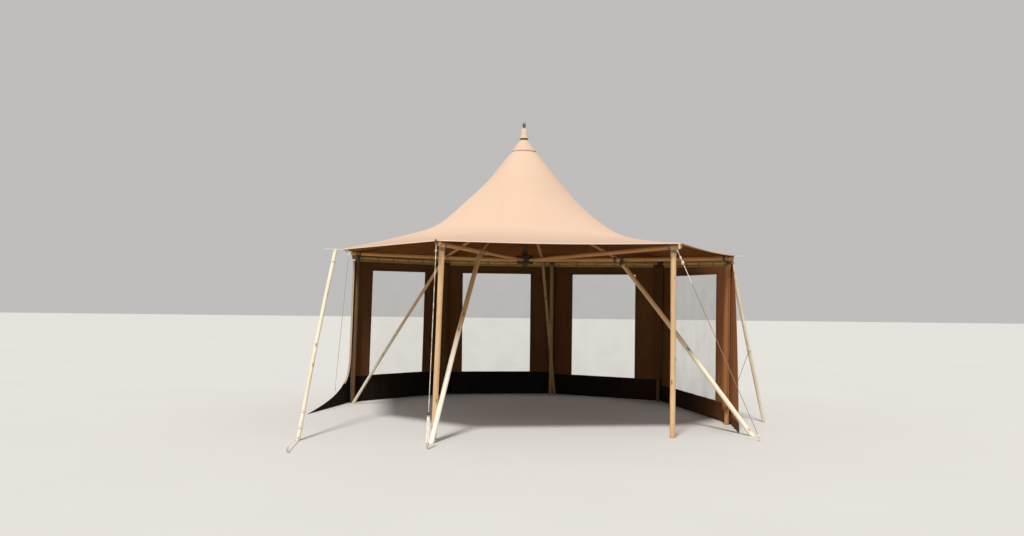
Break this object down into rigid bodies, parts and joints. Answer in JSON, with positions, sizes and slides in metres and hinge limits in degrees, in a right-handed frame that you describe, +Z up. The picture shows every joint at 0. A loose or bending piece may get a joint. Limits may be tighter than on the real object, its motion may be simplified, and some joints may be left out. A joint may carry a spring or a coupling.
{
  "type": "open-fronted octagonal garden pavilion tent",
  "caption": "Open-fronted octagonal garden pavilion of round poles and canvas, with a king post, peaked roof, struts, guys and window walls.",
  "frame": {"origin": "on the ground, in the middle of the box that holds the pavilion and its stakes", "axes": "+Z up; -Y is the open front that people enter by; +X is to the right seen from the front"},
  "size_m": [7.018, 8.2042, 4.5043],
  "materials": {
    "pine": "oiled round softwood poles, satin",
    "bleached_pine": "sun-bleached round softwood poles, matte",
    "hub_wood": "dark stained hardwood block",
    "turned_wood": "turned softwood, waxed",
    "roof_canvas": "pale tan cotton canvas, plain weave, matte",
    "wall_canvas": "chocolate brown canvas with a near-black skirt band, matte",
    "clear_film": "clear flexible window film, slightly hazy",
    "rope": "cream laid rope with wooden stakes"
  },
  "bodies": {
    "root": {"hub": "hub_wood", "king_post": "pine", "canopy": "roof_canvas", "crown_cap": "roof_canvas", "finial": "turned_wood", "post_left": "pine", "post_back_left": "pine", "post_back": "pine", "post_back_right": "pine", "post_right": "pine", "post_front_right": "pine", "post_front_left": "pine", "spoke_left": "pine", "spoke_back_left": "pine", "spoke_back": "pine", "spoke_back_right": "pine", "spoke_right": "pine", "spoke_front_right": "pine", "spoke_front_left": "pine", "strut_left": "bleached_pine", "strut_back": "bleached_pine", "strut_right": "bleached_pine", "strut_front_left": "bleached_pine", "brace_left": "pine", "brace_back": "pine", "brace_right": "pine", "brace_front_left": "pine", "guy_left": "rope", "guy_back_left": "rope", "guy_back": "rope", "guy_back_right": "rope", "guy_front_right": "rope", "guy_front_left": "rope", "raking_pole_fore_left": "bleached_pine", "raking_pole_right": "bleached_pine", "rail_left": "pine", "wall_left": "wall_canvas", "window_left": "clear_film", "rail_back_left": "pine", "wall_back_left": "wall_canvas", "window_back_left": "clear_film", "rail_back_right": "pine", "wall_back_right": "wall_canvas", "window_back_right": "clear_film", "rail_right": "pine", "wall_right": "wall_canvas", "window_right": "clear_film"}
  },
  "joints": []
}
